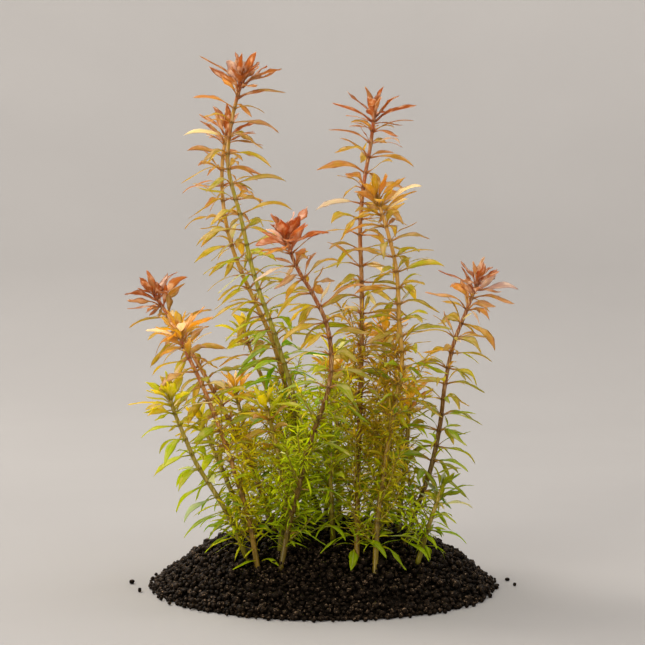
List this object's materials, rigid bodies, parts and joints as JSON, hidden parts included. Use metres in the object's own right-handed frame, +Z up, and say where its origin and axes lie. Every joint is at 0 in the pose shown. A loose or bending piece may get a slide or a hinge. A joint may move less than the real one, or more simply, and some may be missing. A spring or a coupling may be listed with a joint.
{
  "type": "rotala aquarium plant clump in a soil mound",
  "caption": "Clump of slender leafy rotala stems with red and gold shoot tips, rooted in a low round mound of dark granular aquarium soil.",
  "frame": {"origin": "centre of the mound's flat underside", "axes": "+Z up along the stems; the pictured front faces -Y, +X is to the viewer's right"},
  "size_m": [0.1695, 0.1506, 0.227],
  "materials": {
    "soil": "rough, near-black baked clay granules",
    "green_leaves": "thin, satin",
    "olive_leaves": "thin, satin",
    "ochre_leaves": "thin, satin",
    "green_tips": "thin, satin",
    "gold_tips": "thin, satin",
    "red_tips": "thin, satin"
  },
  "bodies": {
    "root": {"soil_mound": "soil", "stray_grain_1": "soil", "stray_grain_2": "soil", "stray_grain_3": "soil", "stray_grain_4": "soil", "tall_left_stem": "olive_leaves", "tall_left_tip": "red_tips", "tall_left_rear_stem": "ochre_leaves", "tall_left_rear_tip": "gold_tips", "middle_red_stem": "ochre_leaves", "middle_red_tip": "red_tips", "tall_right_stem": "ochre_leaves", "tall_right_tip": "red_tips", "gold_right_stem": "olive_leaves", "gold_right_tip": "gold_tips", "far_right_stem": "olive_leaves", "far_right_tip": "red_tips", "left_gold_stem": "ochre_leaves", "left_gold_tip": "gold_tips", "left_red_stem": "ochre_leaves", "left_red_tip": "red_tips", "left_low_stem": "green_leaves", "left_low_tip": "green_tips", "olive_left_stem": "olive_leaves", "olive_left_tip": "gold_tips", "short_left_stem": "olive_leaves", "short_left_tip": "gold_tips", "gold_middle_stem": "olive_leaves", "gold_middle_tip": "gold_tips", "front_green_stem": "green_leaves", "front_green_tip": "green_tips", "front_middle_stem": "green_leaves", "front_middle_tip": "green_tips", "front_right_stem": "green_leaves", "front_right_tip": "green_tips", "right_inner_stem": "green_leaves", "right_inner_tip": "gold_tips", "centre_stem": "green_leaves", "centre_tip": "gold_tips", "rear_right_stem": "green_leaves", "rear_right_tip": "gold_tips", "rear_stem": "green_leaves", "rear_tip": "green_tips", "rear_left_stem": "green_leaves", "rear_left_tip": "gold_tips", "left_rear_low_stem": "green_leaves", "left_rear_low_tip": "green_tips"}
  },
  "joints": []
}
